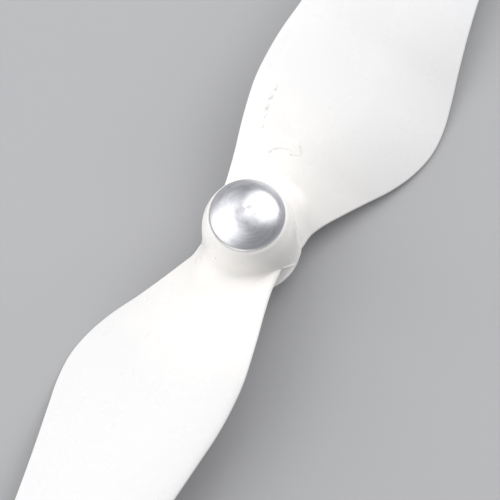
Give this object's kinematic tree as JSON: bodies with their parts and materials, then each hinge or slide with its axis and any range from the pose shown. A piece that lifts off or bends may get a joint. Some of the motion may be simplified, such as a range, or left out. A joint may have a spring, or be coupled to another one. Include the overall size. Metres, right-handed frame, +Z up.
{
  "type": "propeller",
  "caption": "Two-blade self-tightening multirotor propeller: a white plastic moulding of hub and twisted blades around a turned aluminium dome nut that screws onto a motor shaft.",
  "frame": {"origin": "on the spin axis, at the level of the blades' lowest edges, which is the bottom of the bounding box", "axes": "+Z up the spin axis towards the dome, +X along one blade, whose leading edge faces +Y; the propeller turns anticlockwise seen from +Z"},
  "size_m": [0.2388, 0.0388, 0.0218],
  "materials": {
    "white_plastic": "satin moulded",
    "turned_aluminium": "turned"
  },
  "bodies": {
    "root": {"blade_moulding": "white_plastic", "dome_nut": "turned_aluminium"}
  },
  "joints": []
}
